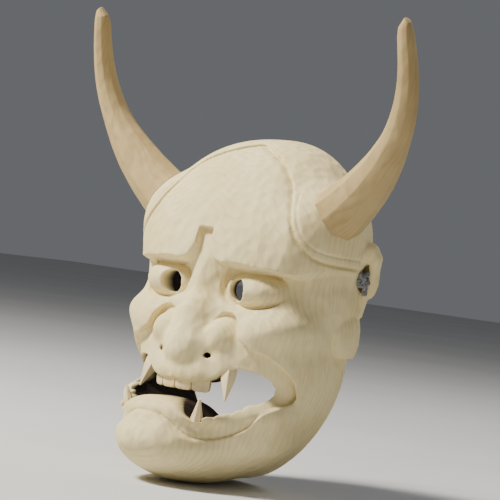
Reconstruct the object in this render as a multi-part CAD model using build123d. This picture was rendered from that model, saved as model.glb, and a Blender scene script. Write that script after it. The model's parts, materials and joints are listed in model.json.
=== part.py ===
"""Carved wooden noh mask of the horned, fanged kind, in bare wood.

Frame: origin at the middle of the flat back rim, +X to the viewer's right, +Y into the back of the
mask (the face looks along -Y) and +Z up.  Millimetres.  The mask body is one carved block whose
outside is a single smooth face: lumps of clay (skull, jaw, chin, cheekbones, nose, lips) are blended
in a distance formula, and the block is lofted through its level curves from chin to crown.
"""
from build123d import *
import math
import os

# ---------------------------------------------------------------- driving sizes (mm)
crown_height = 107.0      # top of the skull above the origin
chin_drop = 106.0         # lowest point of the back rim below the origin
head_half_width = 75.0    # skull, centre to side
forehead_depth = 65.0     # skull, rim plane to forehead
jaw_half_width = 67.5     # jaw block, centre to side
jaw_depth = 72.0          # jaw block, rim plane to front
chin_reach = 108.0        # rim plane to the front of the chin
wall = 9.5                # carved wall thickness
muzzle_reach = 81.0       # rim plane to the upper lip
nose_reach = 80.5         # rim plane to the tip of the nose

eye_spacing = 26.3        # centre plane to a pupil hole
eye_height = 10.7         # pupil holes above the origin
pupil_diameter = 13.2

brow_notch_width = 9.0    # frown notch between the brows
brow_notch_height = 16.0
brow_notch_depth = 3.0

mouth_lip_height = -46.0  # under edge of the upper lip on the centre plane
mouth_floor = -57.5       # top edge of the lower lip on the centre plane

tooth_drop = 6.5          # upper teeth below the lip edge
tooth_root = 6.0          # and how far they are let into the block
tooth_band = 8.0          # front to back of the row of teeth
tooth_setback = 5.5       # lip to the front of the teeth
tooth_groove = 1.2        # depth of the cuts between the teeth

upper_fang_tip = (32.3, -69.5, -55.3)
upper_fang_root = (30.0, -65.0, -34.0)
upper_fang_radius = 4.6
lower_fang_tip = (27.4, -86.6, -55.3)
lower_fang_root = (25.0, -82.5, -75.0)
lower_fang_radius = 5.0
fang_tip_radius = 0.9

horn_root_inset = 9.5     # horn root, in from the side of the skull
horn_root_radius = 18.4
horn_mid_radius = 9.6
horn_tip_radius = 5.2
horn_point_radius = 2.6
horn_facets = 8
horn_seat_gap = 0.3       # between the scribed horn foot and the skull
tenon_diameter = 13.0
tenon_length = 11.0
tenon_clearance = 0.35    # all round the tenon and under its end

ear_height = 27.0         # ear hollow above the origin
ear_hollow_radius = 10.5
cord_diameter = 3.5
cord_hole_diameter = 5.0
cord_setback = 7.5        # cord holes in front of the rim plane
knot_wrap_radius = 6.0    # the two lobes of the overhand knot in each ear
knot_heel_radius = 4.8
knot_proud = 2.5          # knot centre out from the side of the skull

around_steps = 84         # points round each level curve of the head, closer together in front
level_steps = 61          # level curves from chin to crown

# ---------------------------------------------------------------- places worked out from the sizes
skull_centre = (0.0, 6.0, 24.0)
skull_radii = (head_half_width, forehead_depth + 6.0, crown_height - 24.0)
jaw_centre = (0.0, 2.0, -30.0)
jaw_radii = (jaw_half_width, jaw_depth + 2.0, chin_drop - 30.0)
chin_centre = (0.0, 56.0 - chin_reach, -83.0)
chin_radii = (41.0, 56.0, 26.0)


# ---------------------------------------------------------------- the clay formula
def lump(point, centre, radii, round_xy=2.0, round_z=2.0, lean=0.0):
    """Distance, near enough, from a point to a rounded block; negative inside it."""
    x = point[0] - centre[0]
    y = point[1] - centre[1]
    z = point[2] - centre[2]
    if lean:
        turn = math.radians(lean)
        x, z = x * math.cos(turn) - z * math.sin(turn), z * math.cos(turn) + x * math.sin(turn)
    length = math.sqrt(x * x + y * y + z * z)
    if length < 1e-9:
        return -min(radii)
    across = (abs(x) / radii[0]) ** round_xy + (abs(y) / radii[1]) ** round_xy
    whole = across ** (round_z / round_xy) + (abs(z) / radii[2]) ** round_z
    size = whole ** (1.0 / round_z)
    return (size - 1.0) * length / size


def blend(first, second, width):
    """Smooth union of two distances."""
    mix = min(max(0.5 + 0.5 * (second - first) / width, 0.0), 1.0)
    return second + (first - second) * mix - width * mix * (1.0 - mix)


def skull_and_jaw(point):
    """The two large forms of the head, shared by the outside and the hollow."""
    head = lump(point, skull_centre, skull_radii, 2.7, 2.25)
    jaw = lump(point, jaw_centre, jaw_radii, 3.2, 1.7)
    return blend(head, jaw, 8.0)


def outside(point):
    """Distance to the outer surface of the mask."""
    half = (math.sqrt(point[0] ** 2 + 1.0), point[1], point[2])
    clay = skull_and_jaw(half)
    clay = blend(clay, lump(half, (head_half_width - 18.0, -20.0, 50.0), (21.0, 30.0, 27.0)), 12.0)
    clay = blend(clay, lump(half, chin_centre, chin_radii), 14.0)
    clay = blend(clay, lump(half, (43.0, -40.5, -13.0), (26.0, 26.0, 15.0), lean=-14.0), 11.0)
    clay = blend(clay, lump(half, (0.0, 29.0 - muzzle_reach, -42.0), (33.0, 29.0, 17.0)), 7.0)
    # nose: bridge, ridge, tip and wings
    clay = blend(clay, lump(half, (0.0, -50.0, 12.0), (9.5, 16.5, 30.0)), 6.0)
    clay = blend(clay, lump(half, (0.0, 20.0 - nose_reach, -13.0), (10.5, 15.5, 17.0)), 6.0)
    clay = blend(clay, lump(half, (0.0, 15.0 - nose_reach, -25.0), (14.0, 15.0, 11.5)), 5.0)
    clay = blend(clay, lump(half, (18.0, 20.5 - nose_reach, -22.0), (12.5, 13.0, 10.5)), 5.0)
    # rolled lower lip, sweeping down from the middle and up to the corners of the mouth
    clay = blend(clay, lump(half, (0.0, -72.0, -67.0), (36.0, 25.0, 13.0)), 9.0)
    clay = blend(clay, lump(half, (35.0, -48.0, -60.0), (23.0, 25.0, 15.0)), 10.0)
    return clay


def hollow(point):
    """Distance to the surface of the hollow behind the face."""
    half = (math.sqrt(point[0] ** 2 + 1.0), point[1], point[2])
    shell = skull_and_jaw(half) + wall
    return blend(shell, lump(half, (0.0, -44.0, -72.0), (24.0, 34.0, 17.0)), 16.0)


def first_hit(field, start, direction, reach):
    """Distance along a ray, looking inwards from its far end, to where it meets a field."""
    travel = reach
    for _ in range(80):
        spot = start + direction * travel
        gap = field((spot.X, spot.Y, spot.Z))
        if abs(gap) < 0.005:
            break
        travel -= 0.8 * gap
    return travel


def head_core(z):
    """Where the line that the head's level curves are drawn round stands at a height."""
    if z > 40.0:
        return -10.0 + 16.0 * (z - 40.0) / 65.0
    if z > -70.0:
        return -20.0 + 10.0 * (z + 70.0) / 110.0
    return -20.0 - 42.0 * (-70.0 - z) / 37.0


def hollow_core(z):
    """The same for the hollow, whose curves are drawn round an upright line in the rim plane."""
    return 0.0 * z


def level_curve(field, middle_y, z):
    """The closed curve where a field crosses one height, as a face."""
    centre = Vector(0, middle_y, z)
    points = []
    for i in range(around_steps):
        turn = 2.0 * math.pi * i / around_steps
        turn -= 0.5 * math.sin(turn)
        aim = Vector(math.sin(turn), -math.cos(turn), 0)
        points.append(centre + aim * first_hit(field, centre, aim, 150.0))
    shares = [i / around_steps for i in range(around_steps + 1)]
    return Face(Wire([Edge.make_spline(points, periodic=True, parameters=shares)]))


def solid_within(field, core, bottom, top):
    """The part of a field's solid in front of the rim plane, lofted through level curves."""
    curves = []
    for i in range(level_steps):
        swing = math.radians(84.0 * (2.0 * i / (level_steps - 1) - 1.0))
        share = math.sin(swing) / math.sin(math.radians(84.0))
        z = (top + bottom) / 2 + (top - bottom) / 2 * share
        curves.append(level_curve(field, core(z), z))
    front = Box(420, 200, 420, align=(Align.CENTER, Align.MAX, Align.CENTER))
    return loft(curves) & front


def front_y(x, z):
    """Where the outer surface stands at a given width and height."""
    start = Vector(x, 0, z)
    return -first_hit(outside, start, Vector(0, -1, 0), 150.0)


def ellipsoid(centre, radii):
    """A solid ellipsoid."""
    return Pos(*centre) * scale(Sphere(1.0), by=radii)


def both_sides(shape):
    """A shape and its mirror image across the centre plane."""
    return [shape, mirror(shape, about=Plane.YZ)]


# ---------------------------------------------------------------- horns
side = head_half_width
knot_out = side + knot_proud
horn_points = [
    Vector(side - horn_root_inset, -27.9, 60.5),
    Vector(side + 35.2, -33.8, 92.6),
    Vector(side + 60.6, -45.3, 131.5),
    Vector(side + 39.0, -55.3, 169.3),
    Vector(side + 46.8, -57.6, 177.0),
]
pull_axis = (horn_points[1] - horn_points[0]).normalized()


def horn_at(share):
    """Point and heading of the horn's centre line, from 0 at the root to 1 at the tip."""
    levels = list(horn_points)
    while len(levels) > 2:
        levels = [a * (1.0 - share) + b * share for a, b in zip(levels, levels[1:])]
    return levels[0] * (1.0 - share) + levels[1] * share, (levels[1] - levels[0]).normalized()


def horn_radius(share):
    """Radius of the horn along its centre line."""
    if share < 0.5:
        return horn_root_radius + (horn_mid_radius - horn_root_radius) * share / 0.5
    return horn_mid_radius + (horn_tip_radius - horn_mid_radius) * (share - 0.5) / 0.5


def facet_section(spot, heading, radius):
    """An eight-sided slice across a horn."""
    plane = Plane(origin=spot, x_dir=heading.cross(Vector(0, 1, 0)), z_dir=heading)
    return plane * RegularPolygon(radius * 1.04, horn_facets)


def make_horn():
    """The whole curved horn, carried on into the skull so that it can be scribed to it."""
    root, heading = horn_at(0.0)
    slices = [facet_section(root - heading * 14.0, heading, horn_root_radius * 0.7)]
    for share in (0.0, 0.12, 0.26, 0.42, 0.58, 0.74, 0.88):
        spot, heading = horn_at(share)
        slices.append(facet_section(spot, heading, horn_radius(share)))
    spot, heading = horn_at(0.985)
    slices.append(facet_section(spot, heading, horn_tip_radius * 0.92))
    spot, heading = horn_at(1.0)
    slices.append(facet_section(spot + heading * 1.5, heading, horn_point_radius))
    return loft(slices)


# ---------------------------------------------------------------- the carved block
block = solid_within(outside, head_core, -chin_drop - 2.4, crown_height - 0.7)
cavity = solid_within(hollow, hollow_core, wall - chin_drop + 0.7, crown_height - wall - 0.7)

keep_front = Box(400, 200, 400, align=(Align.CENTER, Align.MAX, Align.CENTER))
ear_top = ellipsoid((side - 1.0, -2.0, ear_height + 9.5), (12.5, 17.0, 12.8)) & keep_front
ear_lobe = ellipsoid((side - 5.0, -4.0, -10.0), (6.5, 12.0, 13.0)) & keep_front
eye_socket = ellipsoid((33.0, -69.0, 13.5), (24.0, 15.5, 15.5))
eyeball = ellipsoid((33.0, -38.0, 11.5), (24.0, 25.3, 14.0))
head = block
for socket_cut in both_sides(eye_socket):
    head = head - socket_cut
for ball in both_sides(eyeball):
    head = head + ball
for ear_piece in both_sides(ear_top) + both_sides(ear_lobe):
    head = head + ear_piece

ear_hollow = ellipsoid(
    (side + 5.5, 0.5, ear_height), (ear_hollow_radius, ear_hollow_radius + 1.0, ear_hollow_radius)
)
cord_hole = Pos(side - 5.0, -cord_setback, ear_height) * Cylinder(
    cord_hole_diameter / 2, 36.0, rotation=(0, 90, 0)
)

eye_cut = Pos(eye_spacing, -60.0, eye_height) * Cylinder(
    pupil_diameter / 2, 60.0, rotation=(90, 0, 0)
)
nostril = ellipsoid((11.0, 9.0 - nose_reach, -32.5), (3.4, 5.5, 4.2))

notch_middle = front_y(0.0, 38.0)
notch = Pos(0, notch_middle + brow_notch_depth, 37.5) * Box(
    brow_notch_width, 20.0, brow_notch_height, align=(Align.CENTER, Align.MAX, Align.CENTER)
)

mouth_half = [
    (0.0, mouth_lip_height),
    (12.0, mouth_lip_height + 1.0),
    (22.0, mouth_lip_height + 3.0),
    (30.0, mouth_lip_height + 6.5),
    (40.0, mouth_lip_height + 9.0),
    (47.5, mouth_lip_height + 7.0),
    (50.8, mouth_lip_height + 2.5),
    (49.0, mouth_lip_height - 3.5),
    (43.5, mouth_lip_height - 9.0),
    (38.0, mouth_floor - 4.0),
    (31.0, mouth_floor - 8.0),
    (24.0, mouth_floor - 8.5),
    (16.0, mouth_floor - 3.5),
    (8.0, mouth_floor - 0.4),
    (0.0, mouth_floor),
]
mouth_left = [(-x, z) for x, z in reversed(mouth_half[1:-1])]
mouth_wire = Spline([Vector(x, 0, z) for x, z in mouth_half + mouth_left], periodic=True)
mouth_cut = extrude(make_face(mouth_wire), amount=140.0, dir=(0, -1, 0))

# ---------------------------------------------------------------- horns, seated and tenoned
horn_blank = make_horn()
root_spot = horn_points[0] - pull_axis * 30.0
seat_travel = first_hit(outside, root_spot, pull_axis, 90.0)
seat_spot = root_spot + pull_axis * seat_travel
tenon_plane = Plane(origin=seat_spot - pull_axis * tenon_length, z_dir=pull_axis)
tenon = tenon_plane * Cylinder(
    tenon_diameter / 2, tenon_length + 8.0, align=(Align.CENTER, Align.CENTER, Align.MIN)
)
socket_plane = Plane(origin=seat_spot - pull_axis * (tenon_length + tenon_clearance), z_dir=pull_axis)
socket = socket_plane * Cylinder(
    tenon_diameter / 2 + tenon_clearance, tenon_length + 40.0, align=(Align.CENTER, Align.CENTER, Align.MIN)
)
scribe = Pos(*(pull_axis * horn_seat_gap)) * block
horn_pieces = (horn_blank - scribe).solids()
horn_right = max(horn_pieces, key=lambda solid: solid.volume) + tenon

# ---------------------------------------------------------------- teeth and fangs
lip_y = front_y(0.0, mouth_lip_height + 2.0)
row_front = lip_y + tooth_setback
row_radius = 34.0
row_centre = (0.0, row_front + row_radius)
row_half_angle = 40.0
row_back = row_radius - tooth_band


def row_point(radius, turn):
    """A point on the curved row of teeth, seen from above."""
    angle = math.radians(turn)
    return (row_centre[0] + radius * math.sin(angle), row_centre[1] - radius * math.cos(angle))


outer_arc = ThreePointArc(
    row_point(row_radius, -row_half_angle), row_point(row_radius, 0), row_point(row_radius, row_half_angle)
)
inner_arc = ThreePointArc(
    row_point(row_back, row_half_angle), row_point(row_back, 0), row_point(row_back, -row_half_angle)
)
row_outline = make_face(
    [outer_arc, Line(outer_arc @ 1, inner_arc @ 0), inner_arc, Line(inner_arc @ 1, outer_arc @ 0)]
)
row_height = tooth_root + tooth_drop
upper_teeth = Pos(0, 0, mouth_lip_height - tooth_drop) * extrude(row_outline, amount=row_height)
for turn in (-20.0, 0.0, 20.0):
    cut_x, cut_y = row_point(row_radius, turn)
    groove = Pos(cut_x, cut_y, mouth_lip_height - tooth_drop) * Box(
        tooth_groove, 2 * tooth_groove, 2 * tooth_drop - 2.0, rotation=(0, 0, turn)
    )
    upper_teeth = upper_teeth - groove


def make_fang(root, tip, radius, sides=5):
    """A faceted fang from its root in the wood to its tip."""
    start = Vector(*root)
    end = Vector(*tip)
    heading = (end - start).normalized()
    slices = []
    for share, size in ((0.0, radius), (0.45, radius * 0.9), (1.0, fang_tip_radius)):
        plane = Plane(origin=start + (end - start) * share, x_dir=(1, 0, 0), z_dir=heading)
        slices.append(plane * RegularPolygon(size, sides))
    return loft(slices, ruled=True)


upper_fang_right = make_fang(upper_fang_root, upper_fang_tip, upper_fang_radius)
lower_fang_right = make_fang(lower_fang_root, lower_fang_tip, lower_fang_radius, sides=6)
upper_fang_right = upper_fang_right - upper_teeth

# ---------------------------------------------------------------- hanging cord and its knots
cord_points = [
    (-75.0, -cord_setback, ear_height),
    (-55.0, -cord_setback, ear_height - 2.0),
    (-45.0, -cord_setback, ear_height - 17.0),
    (-31.0, -cord_setback, ear_height - 34.0),
    (-11.0, -cord_setback, ear_height - 44.0),
    (11.0, -cord_setback, ear_height - 44.0),
    (31.0, -cord_setback, ear_height - 34.0),
    (45.0, -cord_setback, ear_height - 17.0),
    (55.0, -cord_setback, ear_height - 2.0),
    (75.0, -cord_setback, ear_height),
]


def arc_radii(points):
    """The radius of the tangent arc at each inner point of a route."""
    radii = []
    for before, corner, after in zip(points, points[1:], points[2:]):
        first = Vector(*corner) - Vector(*before)
        second = Vector(*after) - Vector(*corner)
        turn = math.radians(first.get_angle(second))
        radii.append(0.45 * min(first.length, second.length) / math.tan(turn / 2))
    return radii


cord_radii = arc_radii(cord_points)
cord_line = FilletPolyline(*cord_points, radius=cord_radii)
cord_start = Plane(origin=cord_line @ 0, z_dir=cord_line % 0)
hanging_cord = sweep(cord_start * Circle(cord_diameter / 2), path=cord_line)
cord_section = math.pi * cord_diameter ** 2 / 4
print("cord length", round(cord_line.length, 1), "radii", [round(radius, 1) for radius in cord_radii])
print("cord volume over section x length", round(hanging_cord.volume / (cord_section * cord_line.length), 4))

knot_wrap = Pos(knot_out, -cord_setback, ear_height + 1.5) * Sphere(knot_wrap_radius)
knot_heel = Pos(knot_out - 1.0, -cord_setback + 0.8, ear_height - 4.5) * Sphere(knot_heel_radius)
knot_tail = Pos(knot_out + 1.0, -cord_setback + 1.5, ear_height - 8.0) * Cylinder(
    cord_diameter / 2, 7.0, rotation=(20, 0, 0)
)
knot_right = (knot_wrap + knot_heel + knot_tail) - hanging_cord

# ---------------------------------------------------------------- the finished carved body
cuts = [cavity, mouth_cut, notch, upper_teeth]
cuts += both_sides(eye_cut) + both_sides(nostril)
cuts += both_sides(ear_hollow) + both_sides(cord_hole)
cuts += both_sides(socket)
cuts += both_sides(upper_fang_right) + both_sides(lower_fang_right)
cuts += both_sides(knot_right)
mask_body = head
for cut in cuts:
    mask_body = mask_body - cut
mask_body = max(mask_body.solids(), key=lambda solid: solid.volume)

nodes = {
    "mask_body": mask_body,
    "horn_right": horn_right,
    "horn_left": mirror(horn_right, about=Plane.YZ),
    "upper_teeth": upper_teeth,
    "upper_fang_right": upper_fang_right,
    "upper_fang_left": mirror(upper_fang_right, about=Plane.YZ),
    "lower_fang_right": lower_fang_right,
    "lower_fang_left": mirror(lower_fang_right, about=Plane.YZ),
    "hanging_cord": hanging_cord,
    "cord_knot_right": knot_right,
    "cord_knot_left": mirror(knot_right, about=Plane.YZ),
}

os.makedirs("parts", exist_ok=True)
for name, shape in nodes.items():
    export_step(shape, "parts/" + name + ".step")

print("pull axis", [round(value, 4) for value in pull_axis])
print("horn seat", [round(value, 2) for value in seat_spot])
print("tenon end", [round(value, 2) for value in tenon_plane.origin])
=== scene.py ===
# %% [markdown]
# A noh mask of the horned and fanged kind, carved in bare cypress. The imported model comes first: it holds
# every piece at its real size and place, in metres, with +Z up and the face looking along -Y. Everything
# below dresses those pieces and never moves them.

# %% Load the frame
import json
import math
import random

import bmesh
import bpy
import numpy as np
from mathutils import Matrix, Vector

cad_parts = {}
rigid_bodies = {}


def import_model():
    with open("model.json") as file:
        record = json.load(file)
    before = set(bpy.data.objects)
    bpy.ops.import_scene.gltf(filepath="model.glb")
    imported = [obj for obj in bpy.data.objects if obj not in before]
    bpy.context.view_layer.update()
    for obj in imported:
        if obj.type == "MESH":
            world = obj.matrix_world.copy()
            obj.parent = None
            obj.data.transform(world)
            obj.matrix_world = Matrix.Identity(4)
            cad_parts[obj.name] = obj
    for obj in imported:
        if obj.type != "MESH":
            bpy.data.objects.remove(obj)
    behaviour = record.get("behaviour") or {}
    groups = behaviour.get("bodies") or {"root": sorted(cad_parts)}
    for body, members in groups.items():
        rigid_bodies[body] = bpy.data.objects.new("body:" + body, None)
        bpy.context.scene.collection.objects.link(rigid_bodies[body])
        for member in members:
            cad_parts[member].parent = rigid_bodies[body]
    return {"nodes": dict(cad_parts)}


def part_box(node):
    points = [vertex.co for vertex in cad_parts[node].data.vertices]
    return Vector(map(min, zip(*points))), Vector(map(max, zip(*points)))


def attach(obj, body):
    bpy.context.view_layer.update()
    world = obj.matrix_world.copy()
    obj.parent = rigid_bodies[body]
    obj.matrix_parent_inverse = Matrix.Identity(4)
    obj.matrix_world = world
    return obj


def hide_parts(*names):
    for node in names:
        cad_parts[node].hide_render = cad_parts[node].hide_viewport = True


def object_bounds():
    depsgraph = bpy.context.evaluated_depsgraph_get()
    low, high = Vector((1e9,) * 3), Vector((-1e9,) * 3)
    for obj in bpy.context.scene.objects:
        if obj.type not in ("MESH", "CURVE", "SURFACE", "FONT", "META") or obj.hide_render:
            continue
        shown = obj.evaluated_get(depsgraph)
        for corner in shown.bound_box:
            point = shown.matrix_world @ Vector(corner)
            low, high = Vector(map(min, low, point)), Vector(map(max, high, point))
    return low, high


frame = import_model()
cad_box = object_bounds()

import openvdb
from mathutils import Matrix, Vector

MM = 0.001
print("pieces:", sorted(frame["nodes"]))


# %% [markdown]
# Operators act on whatever is selected, so two small helpers keep the selection clean: one clears it, the
# other picks a single object and makes it the active one.

# %% Helpers for operators
def pick_only(*objects):
    """Deselects everything, then selects these objects and makes the first one active."""
    for other in bpy.context.view_layer.objects:
        other.select_set(False)
    for chosen in objects:
        chosen.select_set(True)
    bpy.context.view_layer.objects.active = objects[0] if objects else None


def newest(name):
    """Names the object that an operator has just added, and its mesh."""
    made = bpy.context.object
    made.name = name
    made.data.name = name
    return made


def settle(piece):
    """Puts a piece's place, turn and scale into its mesh."""
    pick_only(piece)
    bpy.ops.object.transform_apply(location=True, rotation=True, scale=True)
    return piece


def apply_modifier(piece, kind, **settings):
    """Adds a modifier, sets it and applies it."""
    pick_only(piece)
    modifier = piece.modifiers.new(kind.title(), kind)
    for key, value in settings.items():
        setattr(modifier, key, value)
    bpy.ops.object.modifier_apply(modifier=modifier.name)
    return piece


def wear(piece, material, slot_name, body, *nodes):
    """Gives a finished piece its material and its body, and hides the nodes it stands for. slot_name is not
    used.
    """
    piece.data.materials.clear()
    piece.data.materials.append(material)
    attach(piece, body)
    if nodes:
        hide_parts(*nodes)
    return piece


pick_only()

# %% [markdown]
# The camera stands level with the mask, about 39 degrees round to the +X side, and is turned 7 degrees about
# its own line of sight, so that the mask leans. A long lens keeps the horns and the chin in proportion.

# %% Camera
camera_place = Vector((0.8162, -1.0185, 0.0330))
camera_right = Vector((0.76689, 0.62849, 0.12994))
camera_up = Vector((-0.09927, -0.08388, 0.99152))
camera_back = camera_right.cross(camera_up)

camera_data = bpy.data.cameras.new("camera")
camera_data.lens = 149.5
camera_data.sensor_width = 36.0
camera_data.clip_end = 20.0
camera = bpy.data.objects.new("camera", camera_data)
bpy.context.scene.collection.objects.link(camera)
turn = Matrix((camera_right, camera_up, camera_back)).transposed()
camera.matrix_world = Matrix.Translation(camera_place) @ turn.to_4x4()
bpy.context.scene.camera = camera
print("camera at", [round(value, 3) for value in camera_place])

# %% [markdown]
# The cord that holds the mask on the wearer's head hangs behind the face between the two ears. Its route is
# one smooth NURBS line. The order and the end setting come after the points, because before them they have
# no effect. Three strands then wind round the line's own points.

# %% Cord route
cord_diameter = 0.0035
cord_points = [
    (-0.075, -0.0075, 0.027),
    (-0.055, -0.0075, 0.025),
    (-0.045, -0.0075, 0.010),
    (-0.031, -0.0075, -0.007),
    (-0.011, -0.0075, -0.017),
    (0.011, -0.0075, -0.017),
    (0.031, -0.0075, -0.007),
    (0.045, -0.0075, 0.010),
    (0.055, -0.0075, 0.025),
    (0.075, -0.0075, 0.027),
]


def smooth_line(name, points, resolution=24):
    """The points of a NURBS line drawn from control points."""
    curve = bpy.data.curves.new(name, "CURVE")
    curve.dimensions = "3D"
    spline = curve.splines.new("NURBS")
    spline.points.add(len(points) - 1)
    for control, place in zip(spline.points, points):
        control.co = (*place, 1.0)
    spline.order_u = 3
    spline.use_endpoint_u = True
    spline.resolution_u = resolution
    holder = bpy.data.objects.new(name, curve)
    bpy.context.scene.collection.objects.link(holder)
    bpy.context.view_layer.update()
    traced = bpy.data.meshes.new_from_object(holder)
    line = [v.co.copy() for v in traced.vertices]
    bpy.data.objects.remove(holder)
    bpy.data.meshes.remove(traced)
    return line


def line_length(line):
    """Length of a run of points."""
    return sum((b - a).length for a, b in zip(line, line[1:]))


def spaced(line, gap):
    """The same line with its points an even gap apart."""
    marks = [0.0]
    for a, b in zip(line, line[1:]):
        marks.append(marks[-1] + (b - a).length)
    count = max(2, int(marks[-1] / gap))
    wanted = np.linspace(0.0, marks[-1], count + 1)
    columns = [np.interp(wanted, marks, [p[k] for p in line]) for k in range(3)]
    return [Vector(values) for values in zip(*columns)]


uv_run = 0.01


def twisted_cord(name, line, diameter, pitch=0.0085, strands=3, sides=9):
    """Strands wound round a line of evenly spaced points, as one mesh with u round and v along."""
    strand_radius = diameter / 2 / (1.0 + 2.0 / math.sqrt(3.0))
    offset = diameter / 2 - strand_radius
    mesh = bpy.data.meshes.new(name)
    maker = bmesh.new()
    uv_layer = maker.loops.layers.uv.new("UVMap")
    normal = Vector((0, 1, 0))
    frames = []
    for i, spot in enumerate(line):
        ahead = line[min(i + 1, len(line) - 1)] - line[max(i - 1, 0)]
        ahead.normalize()
        normal = (normal - ahead * normal.dot(ahead)).normalized()
        frames.append((spot, normal.copy(), ahead.cross(normal)))
    step = line_length(line) / (len(line) - 1)
    for strand in range(strands):
        centres = []
        for i, (spot, side, other) in enumerate(frames):
            angle = 2 * math.pi * (i * step / pitch + strand / strands)
            centres.append(spot + (side * math.cos(angle) + other * math.sin(angle)) * offset)
        rings = []
        for i, centre in enumerate(centres):
            ahead = centres[min(i + 1, len(centres) - 1)] - centres[max(i - 1, 0)]
            ahead.normalize()
            side = (frames[i][1] - ahead * frames[i][1].dot(ahead)).normalized()
            other = ahead.cross(side)
            ring = []
            for k in range(sides):
                angle = 2 * math.pi * k / sides
                ring.append(maker.verts.new(centre + (side * math.cos(angle) + other * math.sin(angle))
                                            * strand_radius))
            rings.append(ring)
        for i in range(len(rings) - 1):
            for k in range(sides):
                corners = (rings[i][k], rings[i][(k + 1) % sides], rings[i + 1][(k + 1) % sides],
                           rings[i + 1][k])
                face = maker.faces.new(corners)
                places = ((k, i), (k + 1, i), (k + 1, i + 1), (k, i + 1))
                for loop, (u, v) in zip(face.loops, places):
                    loop[uv_layer].uv = (u / sides, v * step / uv_run)
                face.smooth = True
        maker.faces.new(rings[0][::-1])
        maker.faces.new(rings[-1])
    maker.to_mesh(mesh)
    maker.free()
    piece = bpy.data.objects.new(name, mesh)
    bpy.context.scene.collection.objects.link(piece)
    return piece


cord_step = 0.0007
cord_line = spaced(smooth_line("cord_route", cord_points), cord_step)
hanging_cord = twisted_cord("hanging_cord_twist", cord_line, cord_diameter)


# %% [markdown]
# A thick cord is stopped in each ear by an overhand knot. The knot's path is a curled loop, drawn with a
# formula, and its free end hangs down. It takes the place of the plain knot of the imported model.

# %% Knots in the ears
knot_spots = 13
knot_start = 0.35
knot_turn = 0.94


def knot_points(centre, reach, flip, tail):
    """Control points of an overhand knot lying in an ear, seen from the side, with its tail."""
    points = []
    for i in range(knot_spots):
        t = knot_start + 2.0 * math.pi * i / (knot_spots - 1) * knot_turn
        across = (math.sin(t) + 2.0 * math.sin(2.0 * t)) / 3.0
        high = (math.cos(t) - 2.0 * math.cos(2.0 * t)) / 3.0
        deep = -math.sin(3.0 * t)
        points.append((
            centre.x + flip * reach.x * 0.80 * deep,
            centre.y + reach.y * across,
            centre.z + reach.z * high,
        ))
    last = Vector(points[-1])
    for step in tail:
        points.append(tuple(last + Vector((flip * step[0], step[1], step[2]))))
    return points


# the ends of the cord beyond the knots, as steps outwards, back and up from the knot's last point
tails = {
    "right": [(0.001, 0.0015, -0.004), (0.0005, 0.0025, -0.0085)],
    "left": [(0.004, -0.001, 0.002), (0.011, -0.002, 0.0035), (0.019, -0.0025, 0.0025)],
}
knots = {}
for hand, flip in (("right", 1), ("left", -1)):
    low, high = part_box("cord_knot_" + hand)
    middle = (low + high) / 2
    half = (high - low) / 2 - Vector((1, 1, 1)) * cord_diameter / 2
    knot_centre = Vector((middle.x, middle.y, middle.z + 0.0025))
    knot_reach = Vector((half.x, half.y, half.z - 0.003))
    knot_route = smooth_line("knot_route", knot_points(knot_centre, knot_reach, flip, tails[hand]))
    knot_line = spaced(knot_route, cord_step)
    knots[hand] = twisted_cord("cord_knot_twist_" + hand, knot_line, cord_diameter, pitch=0.0075)
print("knots:", [piece.name for piece in knots.values()])


# %% [markdown]
# The mask is one carved block. Its form is worked out as clay would be: rounded lumps for the skull, jaw,
# cheekbones, lips and nose are blended in a distance formula. A distance formula says how far a place is
# from a surface, with minus inside. The clay is in millimetres. First come the ways to shape and join it.

# %% Clay
def lump(p, centre, radii, round_xy=2.0, round_z=2.0, lean=0.0, nod=0.0):
    """Signed distance, near enough, to a rounded block. lean turns it in XZ, nod in YZ."""
    x = p[0] - centre[0]
    y = p[1] - centre[1]
    z = p[2] - centre[2]
    if lean:
        c, s = math.cos(math.radians(lean)), math.sin(math.radians(lean))
        x, z = x * c - z * s, z * c + x * s
    if nod:
        c, s = math.cos(math.radians(nod)), math.sin(math.radians(nod))
        y, z = y * c - z * s, z * c + y * s
    length = np.sqrt(x * x + y * y + z * z) + 1e-6
    if round_xy == 2.0 and round_z == 2.0:
        a = np.sqrt((x / radii[0]) ** 2 + (y / radii[1]) ** 2 + (z / radii[2]) ** 2) + 1e-9
        b = np.sqrt((x / radii[0] ** 2) ** 2 + (y / radii[1] ** 2) ** 2 + (z / radii[2] ** 2) ** 2) + 1e-9
        return a * (a - 1.0) / b
    across = np.abs(x / radii[0]) ** round_xy + np.abs(y / radii[1]) ** round_xy
    size = (across ** (round_z / round_xy) + np.abs(z / radii[2]) ** round_z) ** (1.0 / round_z)
    return (size - 1.0) * length / (size + 1e-9)


def blend(a, b, width):
    """Smooth union."""
    mix = np.clip(0.5 + 0.5 * (b - a) / width, 0.0, 1.0)
    return b + (a - b) * mix - width * mix * (1.0 - mix)


def rope(p, stations):
    """Distance to a rounded rope through stations of x, y, z and radius."""
    best = np.full(np.shape(p[0]), 1e6)
    for a, b in zip(stations, stations[1:]):
        run = [b[k] - a[k] for k in range(3)]
        size = sum(value * value for value in run)
        share = np.clip(sum((p[k] - a[k]) * run[k] for k in range(3)) / size, 0.0, 1.0)
        gap = np.sqrt(sum((p[k] - a[k] - share * run[k]) ** 2 for k in range(3)))
        best = np.minimum(best, gap - a[3] - (b[3] - a[3]) * share)
    return best


def carve(a, b, width):
    """Smooth cut of b out of a."""
    return -blend(-a, b, width)


print("clay: lump, blend, rope and carve")


# %% [markdown]
# The crisp steps that a knife leaves, such as the edge of the brow, the eyelids and the folds of the mouth,
# are drawn on a chart: a front view of half the face, in small squares. Two ramps, one straight and one
# smooth, turn distances on the chart into steps.

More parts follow.
